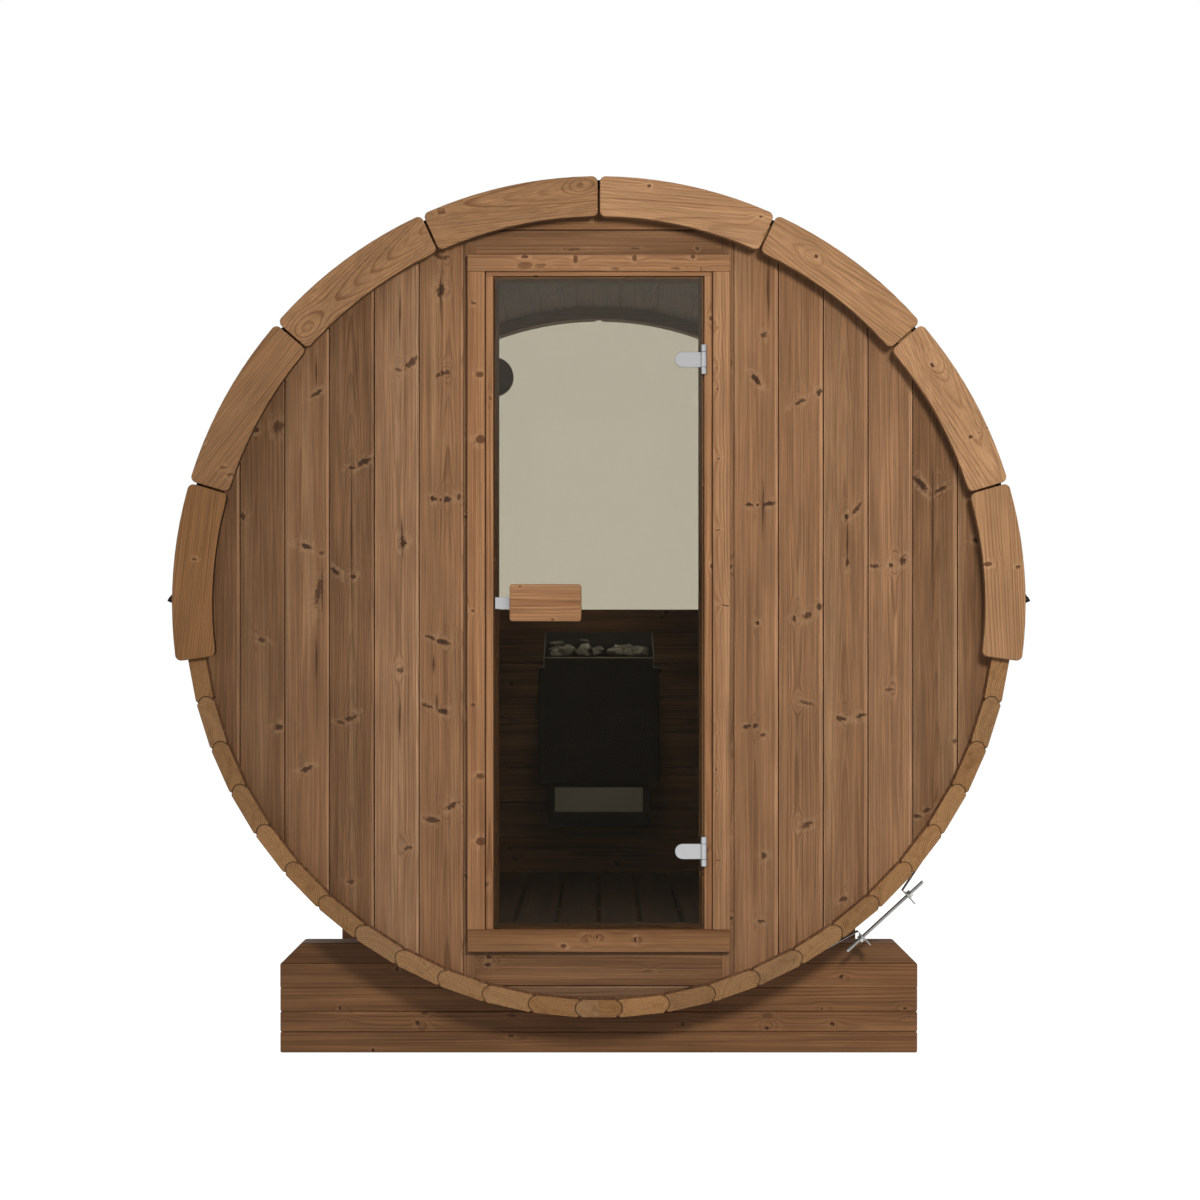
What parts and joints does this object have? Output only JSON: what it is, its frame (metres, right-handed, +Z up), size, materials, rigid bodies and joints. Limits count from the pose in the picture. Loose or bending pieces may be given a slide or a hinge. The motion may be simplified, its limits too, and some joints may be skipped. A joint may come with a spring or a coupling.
{
  "type": "barrel sauna",
  "caption": "Barrel-shaped wooden sauna cabin on two timber cradles, with a hinged tinted glass door, a half-moon rear window, a shingled roof and a wall heater.",
  "frame": {"origin": "centre of the footprint on the ground, under the middle of the barrel", "axes": "+Z up, the barrel lies along Y and the door faces -Y, +X is to the right of someone facing the door"},
  "size_m": [2.0656, 1.996, 2.1224],
  "materials": {
    "thermo_wood": "heat-treated softwood boards, planed, knotty",
    "trim_wood": "heat-treated softwood, planed, warm brown",
    "planed_wood": "heat-treated softwood, planed smooth",
    "cradle_wood": "heat-treated softwood, dark",
    "roof_felt": "black mineral-faced bitumen shingle",
    "band_steel": "plain stainless",
    "satin_metal": "satin",
    "bronze_glass": "bronze tinted toughened glass",
    "clear_glass": "clear toughened glass",
    "heater_black": "matt black stove paint",
    "heater_steel": "brushed",
    "heater_stone": "broken grey rock"
  },
  "bodies": {
    "barrel": {"base_stave": "thermo_wood", "key_stave": "thermo_wood", "left_staves_odd": "thermo_wood", "left_staves_even": "thermo_wood", "right_staves_odd": "thermo_wood", "right_staves_even": "thermo_wood", "front_wall_left": "thermo_wood", "front_wall_right": "thermo_wood", "front_wall_posts": "thermo_wood", "front_wall_header": "thermo_wood", "front_wall_sill": "thermo_wood", "door_frame_sides": "planed_wood", "door_frame_head": "planed_wood", "door_frame_sill": "planed_wood", "door_side_stops": "planed_wood", "door_cross_stops": "planed_wood", "door_side_casings": "planed_wood", "door_cross_casings": "planed_wood", "hinge_brackets": "satin_metal", "front_trim_ring": "trim_wood", "rear_trim_ring": "trim_wood", "barrel_bands": "band_steel", "tension_rods": "band_steel", "right_roof": "roof_felt", "left_roof": "roof_felt", "roof_ridge": "roof_felt", "eaves_battens": "thermo_wood", "front_cradle_odd_timbers": "cradle_wood", "front_cradle_even_timbers": "cradle_wood", "rear_cradle_odd_timbers": "cradle_wood", "rear_cradle_even_timbers": "cradle_wood", "rear_wall_boards": "thermo_wood", "rear_window_rail": "thermo_wood", "rear_window_arch": "thermo_wood", "rear_window_glass": "clear_glass", "rear_vent": "planed_wood", "floor_slats": "thermo_wood", "floor_bearers": "thermo_wood", "heater_body": "heater_black", "heater_stones": "heater_stone", "heater_panel": "heater_steel", "heater_bracket": "heater_black"},
    "door": {"door_glass": "bronze_glass", "hinge_leaves": "satin_metal", "hinge_back_discs": "satin_metal", "door_handles": "planed_wood", "handle_fixings": "satin_metal", "door_catch": "satin_metal"}
  },
  "joints": [
    {"name": "door_hinge", "type": "hinge", "parent": "barrel", "child": "door", "pos_m": [0.2536, -0.94, 1.1], "axis": [0, 0, 1], "range_deg": [0, 110]}
  ]
}
